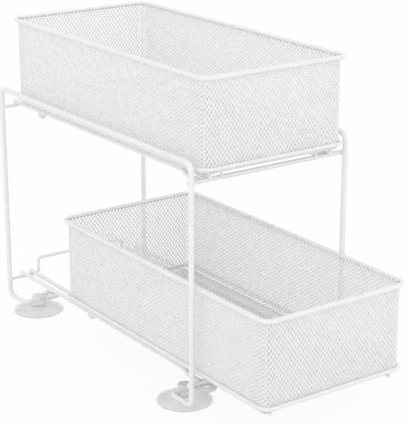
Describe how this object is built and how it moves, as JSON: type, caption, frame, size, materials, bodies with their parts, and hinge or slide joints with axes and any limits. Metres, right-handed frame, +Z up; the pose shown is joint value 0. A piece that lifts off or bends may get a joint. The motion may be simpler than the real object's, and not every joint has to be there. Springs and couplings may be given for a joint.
{
  "type": "under sink organizer",
  "caption": "Two-level wire stand on suction cups with an expanded-metal basket sliding on twin rails at each level.",
  "frame": {"origin": "on the floor under the middle of the whole object as pictured, with the lower basket drawn out", "axes": "+X to the right, -Y to the front, the way the baskets slide out, +Z up"},
  "size_m": [0.2276, 0.5192, 0.3681],
  "materials": {
    "coated_wire": "satin white powder coat",
    "coated_mesh": "satin white powder coat",
    "clear_plastic": "clear soft plastic",
    "keeper_plastic": "white plastic"
  },
  "bodies": {
    "frame": {"back_left_suction_cup": "clear_plastic", "back_right_suction_cup": "clear_plastic", "front_left_suction_cup": "clear_plastic", "front_right_suction_cup": "clear_plastic", "left_side_wire": "coated_wire", "lower_back_cross_wire": "coated_wire", "lower_front_cross_wire": "coated_wire", "lower_front_guide_wire": "coated_wire", "lower_left_inner_rail": "coated_wire", "lower_left_outer_rail": "coated_wire", "lower_right_inner_rail": "coated_wire", "lower_right_outer_rail": "coated_wire", "right_side_wire": "coated_wire", "upper_back_cross_wire": "coated_wire", "upper_front_cross_wire": "coated_wire", "upper_front_guide_wire": "coated_wire", "upper_left_inner_rail": "coated_wire", "upper_left_outer_rail": "coated_wire", "upper_right_inner_rail": "coated_wire", "upper_right_outer_rail": "coated_wire"},
    "upper_basket": {"upper_bottom_wire": "coated_wire", "upper_glide_strip_left": "coated_wire", "upper_glide_strip_right": "coated_wire", "upper_keeper_left": "keeper_plastic", "upper_keeper_right": "keeper_plastic", "upper_mesh_back": "coated_mesh", "upper_mesh_corners": "coated_mesh", "upper_mesh_floor": "coated_mesh", "upper_mesh_front": "coated_mesh", "upper_mesh_left": "coated_mesh", "upper_mesh_right": "coated_mesh", "upper_rim_wire": "coated_wire", "upper_runner_left": "coated_wire", "upper_runner_right": "coated_wire"},
    "lower_basket": {"lower_bottom_wire": "coated_wire", "lower_glide_strip_left": "coated_wire", "lower_glide_strip_right": "coated_wire", "lower_keeper_left": "keeper_plastic", "lower_keeper_right": "keeper_plastic", "lower_mesh_back": "coated_mesh", "lower_mesh_corners": "coated_mesh", "lower_mesh_floor": "coated_mesh", "lower_mesh_front": "coated_mesh", "lower_mesh_left": "coated_mesh", "lower_mesh_right": "coated_mesh", "lower_rim_wire": "coated_wire", "lower_runner_left": "coated_wire", "lower_runner_right": "coated_wire"}
  },
  "joints": [
    {"name": "upper_basket_slide", "type": "slide", "parent": "frame", "child": "upper_basket", "axis": [0, -1, 0], "range_m": [-0.009, 0.305]},
    {"name": "lower_basket_slide", "type": "slide", "parent": "frame", "child": "lower_basket", "axis": [0, -1, 0], "range_m": [-0.1134, 0.2005]}
  ]
}
